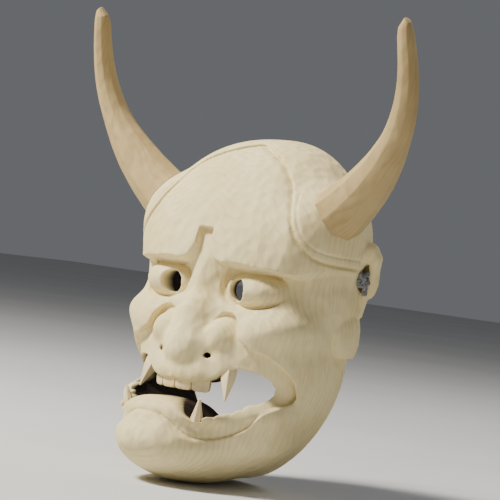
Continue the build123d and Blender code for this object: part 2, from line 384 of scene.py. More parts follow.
# %% Ramps and the chart
def ramp(v, low, high):
    """Straight ramp from 0 to 1."""
    return np.clip((v - low) / (high - low), 0.0, 1.0)


def soft(v, low, high):
    """Smooth ramp from 0 to 1."""
    t = ramp(v, low, high)
    return t * t * (3.0 - 2.0 * t)


chart_step = 0.5
chart_x = np.arange(0.0, 100.5, chart_step)
chart_z = np.arange(-120.0, 115.5, chart_step)
across, up = np.meshgrid(chart_x, chart_z)
print("chart squares:", across.shape)


# %% [markdown]
# A line on the chart is a smooth run through a list of points. Its distance from every square, and
# the side that each square lies on, give the edges of the steps.

# %% Lines on the chart
def flowing(points, closed=False, steps=8):
    """A smooth line through a list of points."""
    pts = [np.array(q, float) for q in points]
    n = len(pts)
    line = []
    last = n if closed else n - 1
    for i in range(last):
        if closed:
            a, b, c, d = pts[i - 1], pts[i], pts[(i + 1) % n], pts[(i + 2) % n]
        else:
            b, c = pts[i], pts[i + 1]
            a = pts[i - 1] if i else 2 * b - c
            d = pts[i + 2] if i + 2 < n else 2 * c - b
        for k in range(steps):
            t = k / steps
            line.append(0.5 * (2 * b + (c - a) * t + (2 * a - 5 * b + 4 * c - d) * t * t
                               + (3 * b - a - 3 * c + d) * t ** 3))
    if not closed:
        line.append(pts[-1])
    return np.array(line)


def line_distance(line, closed=False):
    """Distance on the chart to a line, and which side of it (positive to the left of its run)."""
    best = np.full(across.shape, 1e9)
    side = np.zeros(across.shape)
    pairs = list(zip(line, np.roll(line, -1, axis=0)))
    if not closed:
        pairs = pairs[:-1]
    for a, b in pairs:
        d = b - a
        size = float(d @ d) + 1e-12
        t = np.clip(((across - a[0]) * d[0] + (up - a[1]) * d[1]) / size, 0.0, 1.0)
        ex, ez = across - a[0] - t * d[0], up - a[1] - t * d[1]
        gap = ex * ex + ez * ez
        near = gap < best - 1e-9
        best = np.where(near, gap, best)
        side = np.where(near, d[0] * ez - d[1] * ex, side)
    return np.sqrt(best), side


def inside_of(line):
    """Signed distance on the chart to a closed outline, negative inside."""
    gap, _ = line_distance(line, closed=True)
    odd = np.zeros(across.shape, bool)
    for a, b in zip(line, np.roll(line, -1, axis=0)):
        crosses = (a[1] > up) != (b[1] > up)
        at = (b[0] - a[0]) * (up - a[1]) / (b[1] - a[1] + 1e-12) + a[0]
        odd ^= crosses & (across < at)
    return np.where(odd, -gap, gap)


def read(chart, x, z):
    """Value of a chart at points."""
    u = np.clip((np.abs(x) - chart_x[0]) / chart_step, 0, len(chart_x) - 1.001)
    v = np.clip((z - chart_z[0]) / chart_step, 0, len(chart_z) - 1.001)
    i, j = u.astype(np.int32), v.astype(np.int32)
    fu, fv = (u - i).astype(np.float32), (v - j).astype(np.float32)
    c = chart.astype(np.float32)
    top = c[j, i] * (1 - fu) + c[j, i + 1] * fu
    low = c[j + 1, i] * (1 - fu) + c[j + 1, i + 1] * fu
    return top * (1 - fv) + low * fv


print("lines: flowing, line_distance, inside_of and read")

# %% [markdown]
# These are the lines of the carving on half the face, in millimetres across and up: the lower edge of the
# brow, the eye opening, the mouth opening, the fold from the nose round the mouth, and the hair line with
# its finer neighbour. The lower teeth are scallops in the edge of the mouth.

# %% Lines of the face
BROW = flowing([(5.2, 33.0), (6.4, 30.2), (8.8, 27.4), (13.0, 24.8), (22.5, 22.8), (36.0, 22.4),
                (48.0, 22.6), (57.5, 21.6), (65.0, 23.0), (74.0, 27.0), (84.0, 29.0)])
EYE = flowing([(14.0, 19.0), (12.6, 12.0), (15.0, 5.0), (22.0, 1.0), (36.0, -0.4), (48.0, 2.2),
               (53.2, 8.0), (54.2, 14.5), (50.8, 20.5), (44.0, 24.0), (30.0, 26.0), (19.0, 25.5)],
              closed=True)
MOUTH = flowing([(-3.0, -57.4), (0.0, -57.4), (9.0, -58.0), (17.5, -61.0), (24.5, -67.2), (30.5, -68.8),
                 (37.0, -65.0), (44.5, -60.4), (49.3, -55.4), (51.8, -49.0), (52.4, -43.0), (49.6, -38.4),
                 (42.5, -36.4), (35.0, -36.2), (29.6, -38.4), (25.0, -43.0), (19.0, -46.0), (10.0, -47.4),
                 (-3.0, -46.8)], closed=True, steps=5)
LOWER_TEETH = [(34.6, -68.0), (39.4, -65.0), (44.0, -62.2), (48.2, -58.4)]
FOLD = flowing([(16.0, -8.0), (20.0, -4.0), (27.5, -4.0), (33.0, -9.6), (35.8, -17.5), (43.5, -22.6),
                (53.0, -26.3), (59.0, -32.0), (61.6, -39.6), (60.6, -48.0), (57.4, -56.0), (52.0, -64.0),
                (46.0, -71.6), (37.0, -77.0), (29.0, -78.6), (22.0, -75.6), (15.0, -70.6), (7.0, -67.2),
                (-4.0, -67.0)])
HAIR = flowing([(0.0, 100.5), (5.0, 99.6), (14.0, 96.4), (24.5, 91.8), (34.0, 85.6), (42.0, 77.0),
                (48.5, 66.0), (54.0, 54.5), (59.0, 45.5), (64.0, 38.5), (70.0, 33.5), (80.0, 31.5)])
HAIR_EDGE = flowing([(50.0, 72.0), (55.0, 61.0), (60.0, 51.0), (65.5, 43.0), (72.0, 38.5), (82.0, 37.0)])

print("points in the face lines:", len(BROW), len(EYE), len(MOUTH), len(FOLD), len(HAIR), len(HAIR_EDGE))

# %% [markdown]
# Each line is laid on the chart as a distance map. The front of the mouth opening keeps a round scallop for
# each lower tooth; the opening behind it stays plain, so that the scallops are only as deep as teeth.

# %% Distance maps
scallop_radius = 3.0
brow_gap, brow_side = line_distance(BROW)
above_brow = np.where(brow_side > 0, brow_gap, -brow_gap)
eye_in = inside_of(EYE)
mouth_in = inside_of(MOUTH)
mouth_front = mouth_in
for tooth_x, tooth_z in LOWER_TEETH:
    mouth_front = np.maximum(mouth_front, scallop_radius - np.hypot(across - tooth_x, up - tooth_z))
fold_gap, fold_side = line_distance(FOLD)
inside_fold = np.where(fold_side < 0, fold_gap, -fold_gap)
hair_gap, _ = line_distance(HAIR)
hair_edge_gap, _ = line_distance(HAIR_EDGE)
print("mouth opening, squares:", int((mouth_in < 0).sum()), "with scallops:", int((mouth_front < 0).sum()))


# %% [markdown]
# The heights and depths of the carving, in millimetres, are laid over the plain lumps: a brow plate that
# stands proud, sockets cut back below it, the step of the eyelid, the lip band inside the fold, and the
# grooves of the fold and the hair.

# %% Relief
brow_height = 5.6
socket_cut = 3.0
lid_step = 2.8
lip_step = 1.1
lip_corner_step = 2.9
wing_cut = 3.2
fold_groove = (1.3, 0.8)
hair_groove = (2.0, 0.9)
hair_edge_groove = (0.8, 0.6)


def groove(gap, size):
    """A rounded groove of a depth and half width along a line."""
    return size[0] * np.exp(-(gap / size[1]) ** 2)


def relief():
    """Height of the carving over the plain lumps, as a chart."""
    h = np.zeros(across.shape)
    # brow plate, proud of the sockets, with a bevelled lower edge and the frown notch left out
    plate = brow_height * np.exp(-((up - 24.0) / 36.0) ** 2) * (1.0 - 0.7 * soft(across, 54.0, 74.0))
    edge = ramp(above_brow, -0.2, 2.2)
    notch = 1.0 - ramp(across, 4.6, 6.0)
    notch *= 1.0 - ramp(up, 45.0, 46.0)
    h += plate * edge * (1.0 - notch)
    # under the brow the socket is cut back, most of all near the nose
    under = ramp(-above_brow, -0.2, 0.6) * (1.0 - soft(-above_brow, 5.0, 16.0))
    h -= socket_cut * under * soft(across, 5.0, 14.0) * (1.0 - soft(across, 56.0, 66.0))
    # eye opening: a crisp lid step
    h -= lid_step * ramp(-eye_in, -0.3, 0.7)
    # lip band inside the cheek fold, deepest at the corner of the mouth
    deep = lip_step + lip_corner_step * soft(across, 26.0, 40.0) * soft(up, -64.0, -46.0)
    deep *= soft(across, 8.0, 20.0) + (1.0 - soft(across, 8.0, 20.0)) * 1.2
    deep += wing_cut * np.exp(-((across - 28.0) / 9.0) ** 2 - ((up + 12.0) / 9.0) ** 2)
    edge_width = 0.7 + 1.8 * soft(across, 50.0, 60.0)
    band = ramp(inside_fold, -0.2, edge_width) * (1.0 - soft(inside_fold, 11.0, 22.0))
    muzzle = soft(up, -52.0, -48.0) * (1.0 - soft(across, 22.0, 31.0)) * soft(-up, 8.0, 22.0)
    h -= deep * band * (1.0 - muzzle)
    h -= groove(fold_gap, fold_groove) * soft(-up, 45.0, 64.0)
    # hair line and its finer neighbour
    h -= groove(hair_gap, hair_groove)
    h -= groove(hair_edge_gap, hair_edge_groove)
    return h


RELIEF = relief()
print("relief from", round(float(RELIEF.min()), 2), "to", round(float(RELIEF.max()), 2), "mm")

# %% [markdown]
# The forms of the face are rounded lumps, each with its centre and half sizes. The face is the same on both
# sides, so a form off the middle stands for a pair. Each is blended into the ones before it over a width.

# %% Forms of the head
SKULL = {"centre": (0, 6, 24), "radii": (75, 70.5, 83.0), "round_xy": 2.8, "round_z": 2.25}
JAW = {"centre": (0, 2, -30), "radii": (67.5, 74, 76), "round_xy": 3.2, "round_z": 1.7}
HORN_SWELL = {"centre": (57, -20, 50), "radii": (21, 30, 27)}
CHIN = {"centre": (0, -52, -83), "radii": (41, 56, 26)}
CHEEKBONE = {"centre": (43, -40.5, -13), "radii": (26, 26, 15), "lean": -14}
MUZZLE = {"centre": (0, -51, -42), "radii": (33, 29, 17)}
LOWER_LIP = {"centre": (0, -70, -66), "radii": (41, 30, 13.5)}
LIP_CORNER = {"centre": (38, -46, -61), "radii": (22, 24, 14)}
JAW_SIDE = {"centre": (30, -40, -77), "radii": (25, 33, 15)}
EYE_SOCKET = {"centre": (30.5, -73, 12.5), "radii": (25, 14.5, 15)}
EYEBALL = {"centre": (32.5, -40.3, 11.5), "radii": (24.5, 25.0, 14.2)}
NOSE_BRIDGE = {"centre": (0, -50, 12), "radii": (8.0, 17.5, 30)}
NOSE_BACK = {"centre": (0, -60.5, -10), "radii": (13.5, 17, 17), "nod": 18}
NOSE_TIP = {"centre": (0, -66, -24.5), "radii": (16.5, 16.5, 13.0)}
NOSE_FOOT = {"centre": (0, -70, -30), "radii": (11.0, 13.0, 8.5)}
NOSE_WING = {"centre": (20.5, -60.5, -19.5), "radii": (12.5, 13.8, 12.0), "nod": 10}
HEAD_FORMS = [(HORN_SWELL, 12), (JAW, 8), (CHIN, 14), (CHEEKBONE, 11), (MUZZLE, 7), (LOWER_LIP, 7),
              (LIP_CORNER, 9), (JAW_SIDE, 12)]
NOSE_FORMS = [(NOSE_BRIDGE, 6), (NOSE_BACK, 6), (NOSE_TIP, 8), (NOSE_FOOT, 4), (NOSE_WING, 2.5)]
middle_softness = 1.0


def head(p):
    """Solid outside of the mask, before the holes."""
    x, y, z = p
    q = (np.sqrt(x * x + middle_softness), y, z)
    d = lump(q, **SKULL)
    for form, width in HEAD_FORMS:
        d = blend(d, lump(q, **form), width)
    d = carve(d, lump(q, **EYE_SOCKET), 3.0)
    d = d - read(RELIEF, x, z) * soft(-y, 4.0, 16.0)
    d = blend(d, lump(q, **EYEBALL), 0.8)
    for form, width in NOSE_FORMS:
        d = blend(d, lump(q, **form), width)
    return d


print("forms blended into the skull:", len(HEAD_FORMS), "and for the nose:", len(NOSE_FORMS))


# %% [markdown]
# The block is hollow behind, with a wall a little under 10 mm and more room in the chin. The ears are ropes
# and flat lumps with a hollow for the knot. The mouth, pupils and nostrils are cut through from the front.

# %% Ears, openings and hollow
wall = 9.5
least_wood = 4.0
HOLLOW_SKULL = {"centre": (0, 6, 24), "radii": (75, 71, 81.5), "round_xy": 2.7, "round_z": 2.25}
HOLLOW_CHIN = {"centre": (0, -44, -72), "radii": (24, 34, 17)}
EAR_HOLLOW = {"centre": (80.5, 0, 27), "radii": (10.5, 12, 10.5)}
EAR_BACK = {"centre": (78.0, -0.5, 28.0), "radii": (6.5, 2.6, 13.0)}
LOBE = {"centre": (69.3, -4, -9), "radii": (6.4, 14.5, 15.5)}
NOSTRIL = {"centre": (17.5, -67, -30.2), "radii": (3.8, 7, 2.6)}
HELIX = [(70.0, -12.5, 22.0, 3.8), (71.5, -13.0, 30.0, 5.2), (74.0, -10.5, 39.0, 6.2),
         (79.5, -6.0, 43.6, 5.6), (82.6, -4.5, 40.0, 4.4), (82.4, -3.5, 33.0, 3.4),
         (79.6, -2.5, 25.0, 2.8), (76.4, -2.0, 17.0, 2.4), (73.6, -2.0, 5.0, 2.4)]
lobe_foot_z = -22.3
pupil_x, pupil_z, pupil_radius = 26.3, 10.7, 6.7
mouth_back_y = -10.0
scallop_depth = 5.0


def hollow(p):
    """The space behind the face."""
    x, y, z = p
    q = (np.sqrt(x * x + middle_softness), y, z)
    d = blend(lump(q, **HOLLOW_SKULL), lump(q, **JAW), 8) + wall
    return blend(d, lump(q, **HOLLOW_CHIN), 16)


def mask(p):
    """The whole carved block."""
    x, y, z = p
    q = (np.abs(x), y, z)
    solid = head(p)
    d = carve(solid, lump(q, **EAR_HOLLOW), 0.8)
    d = blend(d, rope(q, HELIX), 1.0)
    d = blend(d, lump(q, **EAR_BACK), 1.0)
    d = blend(d, np.maximum(lump(q, **LOBE), lobe_foot_z - z), 0.8)
    in_front = y - mouth_back_y
    d = carve(d, np.maximum(read(mouth_front, x, z), in_front), 0.8)
    d = carve(d, np.maximum(np.maximum(read(mouth_in, x, z), in_front), solid + scallop_depth), 0.8)
    d = carve(d, np.hypot(q[0] - pupil_x, z - pupil_z) - pupil_radius, 0.6)
    d = carve(d, lump(q, **NOSTRIL), 0.8)
    d = carve(d, np.maximum(hollow(p), solid + least_wood), 1.0)
    return np.maximum(d, y)


print("wall", wall, "mm, pupils", 2 * pupil_radius, "mm across")

# %% [markdown]
# Each horn's tenon slides in a hole along the horn's first direction. The head's surface is found along that
# direction, so that the hole starts at the right depth.

# %% Sockets for the horns
tenon_hole_radius = 6.85
tenon_hole_depth = 11.35
horn_root = np.array((65.6, -27.9, 60.5))
horn_aim = np.array((44.6, -5.9, 32.1)) / np.linalg.norm((44.6, -5.9, 32.1))


def find_horn_seat():
    """How far out from the horn's root, along its axis, the head's surface lies."""
    reach = 0.0
    for _ in range(60):
        spot = horn_root + horn_aim * reach
        reach -= 0.8 * float(head([np.array([value]) for value in spot])[0])
    return reach


horn_seat = find_horn_seat()


def mask_with_sockets(p):
    """The carved block with the two holes that the horns' tenons slide in."""
    x, y, z = np.abs(p[0]) - horn_root[0], p[1] - horn_root[1], p[2] - horn_root[2]
    along = x * horn_aim[0] + y * horn_aim[1] + z * horn_aim[2]
    away = np.sqrt(np.maximum(x * x + y * y + z * z - along * along, 0.0))
    hole = np.maximum(away - tenon_hole_radius, horn_seat - tenon_hole_depth - along)
    return np.maximum(mask(p), -hole)


print("horn seat at", round(horn_seat, 2), "mm from the root")

# %% [markdown]
# The clay formula is turned into a mesh by sampling it on a grid. To save time the grid is first sampled
# coarsely, and only the places near the surface are sampled finely. The half grid is enough, because the
# face is the same on both sides. OpenVDB then lays faces where the distance is zero.

# %% From formula to mesh
def carved_mesh(name, field, low, high, step, mirrored=True):
    """A closed mesh round the places where a field is negative. The sizes are in millimetres."""
    coarse = 4
    axes = []
    for k in range(3):
        start = 0.0 if mirrored and k == 0 else low[k]
        cells = int(math.ceil((high[k] - start) / step / coarse)) * coarse
        axes.append(start + step * np.arange(cells + 1))
    rough = [axis[::coarse] for axis in axes]
    spots = np.meshgrid(*rough, indexing="ij")
    far = field([s.ravel() for s in spots]).reshape(spots[0].shape)
    shape = [len(axis) for axis in axes]
    block = np.empty(shape, np.float32)
    index = [np.clip((np.arange(n) + coarse // 2) // coarse, 0, len(r) - 1) for n, r in zip(shape, rough)]
    block[:] = far[np.ix_(*index)]
    close = np.nonzero(np.abs(block) < step * coarse * 0.95 + 2.5)
    chunk = 400000
    for first in range(0, len(close[0]), chunk):
        i, j, k = (c[first:first + chunk] for c in close)
        block[i, j, k] = field([axes[0][i], axes[1][j], axes[2][k]])
    block = np.clip(block, -3 * step, 3 * step)
    origin = [axis[0] for axis in axes]
    if mirrored:
        block = np.concatenate((block[:0:-1], block))
        origin[0] = -axes[0][-1]
    grid = openvdb.FloatGrid(3 * step)
    grid.copyFromArray(np.ascontiguousarray(block, np.float32))
    points, triangles, quads = grid.convertToPolygons(isovalue=0.0, adaptivity=0.0)
    points = (points * step + np.array(origin)) * MM
    mesh = bpy.data.meshes.new(name)
    faces = [tuple(face) for face in quads.tolist()] + [tuple(face) for face in triangles.tolist()]
    mesh.from_pydata(points.tolist(), [], faces)
    mesh.update()
    piece = bpy.data.objects.new(name, mesh)
    bpy.context.scene.collection.objects.link(piece)
    return piece


def outward(piece):
    """Turns all the faces of a closed piece outwards."""
    pick_only(piece)
    bpy.ops.object.mode_set(mode="EDIT")
    bpy.ops.mesh.select_all(action="SELECT")
    bpy.ops.mesh.normals_make_consistent(inside=False)
    bpy.ops.object.mode_set(mode="OBJECT")
    return piece


mask_low = (-90.0, -112.0, -111.0)
mask_high = (90.0, 2.5, 110.0)
mask_step = 0.75
mask_triangles = 195000
mask = carved_mesh("mask_carving", mask_with_sockets, mask_low, mask_high, mask_step)
print("mask faces before thinning:", len(mask.data.polygons))
apply_modifier(mask, "DECIMATE", ratio=mask_triangles / (2 * len(mask.data.polygons)))
outward(mask)
pick_only(mask)
bpy.ops.object.shade_smooth()
print("mask faces:", len(mask.data.polygons))


# %% [markdown]
# Each point of the mesh notes how deep it lies inside the block. The wood material reads that note and puts
# a dark brown painted shade on the hollow.

# %% Note the hollow
def mark_inside(piece):
    """Notes on each point how deep it lies inside the block, from 0 on the face to 1 in the hollow."""
    places = np.array([v.co for v in piece.data.vertices]) / MM
    columns = [places[:, k] for k in range(3)]
    inside = soft(-head(columns), 2.2, 4.0) * soft(-columns[1], 0.3, 1.4)
    note = piece.data.attributes.new("inside", "FLOAT", "POINT")
    note.data.foreach_set("value", inside.astype(np.float32))


mark_inside(mask)
print("mask attributes:", [item.name for item in mask.data.attributes])

# %% [markdown]
# Each horn is a separate piece of wood, pared down with a knife in long facets, curved, and blunt at the
# tip. It is modelled straight: an uneven polygon is extruded and scaled ring by ring, then a Curve modifier
# bends it along the horn's line. A block of the head, a hair larger than the head itself, cuts its foot to
# fit, and a round tenon is added below, which slides in a hole in the head.

# %% Horns
horn_line_points = [
    (0.0656, -0.0279, 0.0605),
    (0.1102, -0.0338, 0.0926),
    (0.1356, -0.0453, 0.1315),
    (0.1140, -0.0553, 0.1693),
    (0.1218, -0.0576, 0.1770),
]
# share of the horn's length, and its radius there in millimetres
horn_sizes = [(0.0, 18.4), (0.25, 14.3), (0.5, 9.2), (0.75, 6.7), (0.93, 5.5), (0.985, 4.3), (1.0, 2.6)]
horn_facets = 10
horn_rings = 26
horn_edge = 0.0005
horn_root_depth = 0.016
tenon_radius = 0.0065
tenon_length = 0.0105


def horn_curve(name, points, start_back):
    """The Bezier line of a horn as a poly curve, begun a little inside the head."""
    places = [Vector(p) for p in points]
    line = []
    steps = 60
    for i in range(steps + 1):
        levels = list(places)
        while len(levels) > 1:
            levels = [a.lerp(b, i / steps) for a, b in zip(levels, levels[1:])]
        line.append(levels[0])
    heading = (places[1] - places[0]).normalized()
    line.insert(0, line[0] - heading * start_back)
    curve = bpy.data.curves.new(name, "CURVE")
    curve.dimensions = "3D"
    curve.twist_mode = "MINIMUM"
    spline = curve.splines.new("POLY")
    spline.points.add(len(line) - 1)
    for control, place in zip(spline.points, line):
        control.co = (*place, 1.0)
    holder = bpy.data.objects.new(name, curve)
    bpy.context.scene.collection.objects.link(holder)
    return holder, line_length(line)


def make_horn(name, side):
    """A knife-cut horn at +X (side 1) or -X (side -1)."""
    chance = random.Random(7 if side > 0 else 11)
    points = [(x * side, y, z) for x, y, z in horn_line_points]
    curve, length = horn_curve(name + "_line", points, horn_root_depth)
    body_length = length - horn_root_depth
    pick_only()
    bpy.ops.mesh.primitive_circle_add(vertices=horn_facets, radius=1.0, fill_type="NGON")
    horn = newest(name)
    widths = [1.0 + chance.uniform(-0.05, 0.05) for _ in range(horn_facets)]
    for vertex, width in zip(horn.data.vertices, widths):
        vertex.co *= width
    root_size = horn_sizes[0][1] * MM
    horn.scale = (root_size,) * 3
    settle(horn)
    bpy.ops.object.mode_set(mode="EDIT")
    bpy.ops.mesh.select_all(action="SELECT")
    size_now = root_size
    height_now = 0.0
    shares = [0.0] + [(i / horn_rings) ** 0.9 for i in range(1, horn_rings + 1)]
    for share in shares:
        height = horn_root_depth + share * body_length
        size = np.interp(share, *zip(*horn_sizes)) * MM
        bpy.ops.mesh.extrude_region_move(TRANSFORM_OT_translate={"value": (0, 0, height - height_now)})
        factor = size / size_now * chance.uniform(0.994, 1.006)
        bpy.ops.transform.resize(value=(factor, factor, 1.0), center_override=(0, 0, height))
        size_now *= factor
        height_now = height
    bpy.ops.object.mode_set(mode="OBJECT")
    horn.modifiers.new("Curve", "CURVE")
    horn.modifiers["Curve"].object = curve
    horn.modifiers["Curve"].deform_axis = "POS_Z"
    pick_only(horn)
    bpy.ops.object.modifier_apply(modifier="Curve")
    bpy.data.objects.remove(curve)
    outward(horn)
    apply_modifier(horn, "BEVEL", width=horn_edge, segments=2, limit_method="ANGLE",
                   angle_limit=math.radians(14))
    return horn


def fit_horn(horn, side, scribe):
    """Cuts a horn's foot to the head and adds its tenon."""
    root = Vector(horn_line_points[0])
    heading = (Vector(horn_line_points[1]) - root).normalized()
    root.x, heading.x = root.x * side, heading.x * side
    apply_modifier(horn, "BOOLEAN", operation="DIFFERENCE", object=scribe, solver="EXACT")
    seat = horn_seat * MM
    pick_only()
    bpy.ops.mesh.primitive_cylinder_add(vertices=32, radius=tenon_radius, depth=tenon_length + 0.010)
    tenon = newest(horn.name + "_tenon")
    tenon.matrix_world = (Matrix.Translation(root + heading * (seat + 0.005 - tenon_length / 2))
                          @ heading.to_track_quat("Z", "Y").to_matrix().to_4x4())
    settle(tenon)
    apply_modifier(tenon, "BEVEL", width=0.0006, segments=2, limit_method="ANGLE",
                   angle_limit=math.radians(40))
    apply_modifier(horn, "BOOLEAN", operation="UNION", object=tenon, solver="EXACT")
    bpy.data.objects.remove(tenon)
    pick_only(horn)
    bpy.ops.object.shade_smooth_by_angle(angle=math.radians(13))
    return horn


scribe_gap = 0.3
scribe_step = 1.5
scribe = carved_mesh("scribe", lambda p: head(p) - scribe_gap, mask_low, (90.0, 3.0, 110.0), scribe_step)
outward(scribe)
horns = {}
for hand, side in (("right", 1), ("left", -1)):
    horns[hand] = fit_horn(make_horn("horn_carved_" + hand, side), side, scribe)
bpy.data.objects.remove(scribe)
print("horn faces:", [len(horn.data.polygons) for horn in horns.values()])

# %% [markdown]
# The upper teeth are four flat incisors in a shallow arc under the lip. Each tooth is shaped from a cube
# with its lower corners rounded, and set on the arc. The fangs are cones cut with a few flat strokes.

# %% Teeth
row_low, row_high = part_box("upper_teeth")
row_radius = 0.034
tooth_count = 4
tooth_step = math.radians(20.0)
tooth_wide = 0.0113
tooth_deep = 0.0074
tooth_lead = 0.0028


def incisor(name, width):
    """One tooth, standing at the origin with its front on -Y."""
    tall = row_high.z - row_low.z
    pick_only()
    bpy.ops.mesh.primitive_cube_add(size=1.0)
    tooth = newest(name)
    tooth.scale = (width, tooth_deep, tall)
    settle(tooth)
    maker = bmesh.new()
    maker.from_mesh(tooth.data)
    for vertex in maker.verts:
        if vertex.co.z < 0:
            vertex.co.x *= 0.93
            vertex.co.y *= 0.75
    corners = [e for e in maker.edges if abs(e.verts[0].co.x - e.verts[1].co.x) < width * 0.2
               and e.verts[0].co.z < 0 and e.verts[1].co.z < 0]
    bmesh.ops.bevel(maker, geom=corners, offset=width * 0.2, segments=4, profile=0.5, affect="EDGES")
    maker.to_mesh(tooth.data)
    maker.free()
    apply_modifier(tooth, "BEVEL", width=0.0006, segments=2, limit_method="ANGLE",
                   angle_limit=math.radians(30))
    return tooth


def tooth_row():
    """The four incisors joined into one piece."""
    centre = Vector((0, row_low.y + row_radius - tooth_lead, (row_low.z + row_high.z) / 2))
    teeth = []
    for i in range(tooth_count):
        turn = tooth_step * (i - (tooth_count - 1) / 2)
        reach = row_radius - tooth_deep / 2 - 0.0001
        tooth = incisor("tooth_%d" % i, tooth_wide)
        place = centre + Vector((math.sin(turn) * reach, -math.cos(turn) * reach, 0))
        tooth.matrix_world = Matrix.Translation(place) @ Matrix.Rotation(turn, 4, "Z")
        settle(tooth)
        teeth.append(tooth)
    pick_only(*teeth)
    bpy.ops.object.join()
    row = newest("upper_teeth_row")
    bpy.ops.object.shade_smooth_by_angle(angle=math.radians(35))
    return row


fang_root_in, fang_root_back, fang_root_down = 0.0015, 0.0020, 0.0045
fang_swell = 0.34
fang_taper = 0.45


def fang(name, node, sides, root_radius, tip_radius, flip):
    """A carved fang between the ends of its node's box, curved a little and cut in flats."""
    low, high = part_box(node)
    inner_x, outer_x = (low.x, high.x) if flip > 0 else (high.x, low.x)
    upper = node.startswith("upper")
    root = Vector((inner_x + flip * root_radius, high.y - root_radius, high.z if upper else low.z))
    if upper:
        root += Vector((-flip * fang_root_in, fang_root_back, -fang_root_down))
    tip = Vector((outer_x - flip * tip_radius * 1.4, low.y + tip_radius * 1.4, low.z if upper else high.z))
    if upper:
        tip.z += 0.0002
    heading = tip - root
    pick_only()
    bpy.ops.mesh.primitive_cone_add(vertices=sides, radius1=root_radius, radius2=tip_radius,
                                    depth=heading.length, end_fill_type="NGON")
    tooth = newest(name)
    bpy.ops.object.mode_set(mode="EDIT")
    bpy.ops.mesh.select_all(action="SELECT")
    bpy.ops.mesh.subdivide(number_cuts=5)
    bpy.ops.object.mode_set(mode="OBJECT")
    half = heading.length / 2
    for vertex in tooth.data.vertices:
        share = (vertex.co.z + half) / heading.length
        swell = 1.0 + fang_swell * math.sin(math.pi * min(1.0, share * 1.05)) * (1.0 - fang_taper * share)
        vertex.co.x *= swell
        vertex.co.y *= swell
    tooth.matrix_world = (Matrix.Translation((root + tip) / 2)
                          @ heading.to_track_quat("Z", "Y").to_matrix().to_4x4())
    settle(tooth)
    apply_modifier(tooth, "BEVEL", width=0.0004, segments=2, limit_method="ANGLE",
                   angle_limit=math.radians(25))
    pick_only(tooth)
    bpy.ops.object.shade_smooth_by_angle(angle=math.radians(30))
    return tooth


teeth_row = tooth_row()
fangs = {}
for hand, flip in (("right", 1), ("left", -1)):
    fangs["upper_fang_" + hand] = fang("upper_fang_carved_" + hand, "upper_fang_" + hand, sides=5,
                                       root_radius=0.0050, tip_radius=0.0007, flip=flip)
    fangs["lower_fang_" + hand] = fang("lower_fang_carved_" + hand, "lower_fang_" + hand, sides=7,
                                       root_radius=0.0049, tip_radius=0.0008, flip=flip)
print("teeth:", len(teeth_row.data.polygons), "faces; fangs:", sorted(fangs))

# %% [markdown]
# Bare cypress shows pale growth rings. The rings are nearly flat sheets lying parallel to the back of the
# mask, so the carved surface cuts them into contour lines, like the hills on a map. The grain group works
# that out from the object's own coordinates: a depth, bent by slow noise, cut into thin dark lines, with
# fine fibres running up the block.

# %% Shared wood group
def socket(group, name, kind, way, value=None):
    """Adds a named socket to a node group."""
    made = group.interface.new_socket(name=name, in_out=way, socket_type=kind)
    if value is not None:
        made.default_value = value
    return made


def link(tree, source, target):
    """Joins two sockets."""
    tree.links.new(source, target)


def maths(tree, operation, first, second=None, third=None):
    """A Math node fed by sockets or numbers."""
    node = tree.nodes.new("ShaderNodeMath")
    node.operation = operation
    for place, value in zip(node.inputs, (first, second, third)):
        if value is None:
            continue
        if isinstance(value, (int, float)):
            place.default_value = value
        else:
            link(tree, value, place)
    return node.outputs[0]


def noise(tree, vector, scale, detail=3.0, roughness=0.5):
    """A Noise Texture node's value."""
    node = tree.nodes.new("ShaderNodeTexNoise")
    node.inputs["Scale"].default_value = scale
    node.inputs["Detail"].default_value = detail
    node.inputs["Roughness"].default_value = roughness
    link(tree, vector, node.inputs["Vector"])
    return node.outputs["Fac"]


def stretched(tree, vector, scale, place=(0, 0, 0), turn=(0, 0, 0)):
    """A Mapping node's vector."""
    node = tree.nodes.new("ShaderNodeMapping")
    node.inputs["Location"].default_value = place
    node.inputs["Rotation"].default_value = turn
    node.inputs["Scale"].default_value = scale
    link(tree, vector, node.inputs["Vector"])
    return node.outputs["Vector"]


def mixed(tree, share, first, second):
    """A colour mix. The colours are sockets or plain colours."""
    node = tree.nodes.new("ShaderNodeMix")
    node.data_type = "RGBA"
    if isinstance(share, (int, float)):
        node.inputs["Factor"].default_value = share
    else:
        link(tree, share, node.inputs["Factor"])
    for place, value in ((node.inputs[6], first), (node.inputs[7], second)):
        if isinstance(value, tuple):
            place.default_value = (*value, 1.0)
        else:
            link(tree, value, place)
    return node.outputs[2]


def spread(tree, value, low, high, out_low=0.0, out_high=1.0):
    """Maps a value smoothly from one range to another."""
    node = tree.nodes.new("ShaderNodeMapRange")
    node.interpolation_type = "SMOOTHSTEP"
    link(tree, value, node.inputs["Value"])
    node.inputs["From Min"].default_value = low
    node.inputs["From Max"].default_value = high
    node.inputs["To Min"].default_value = out_low
    node.inputs["To Max"].default_value = out_high
    return node.outputs["Result"]


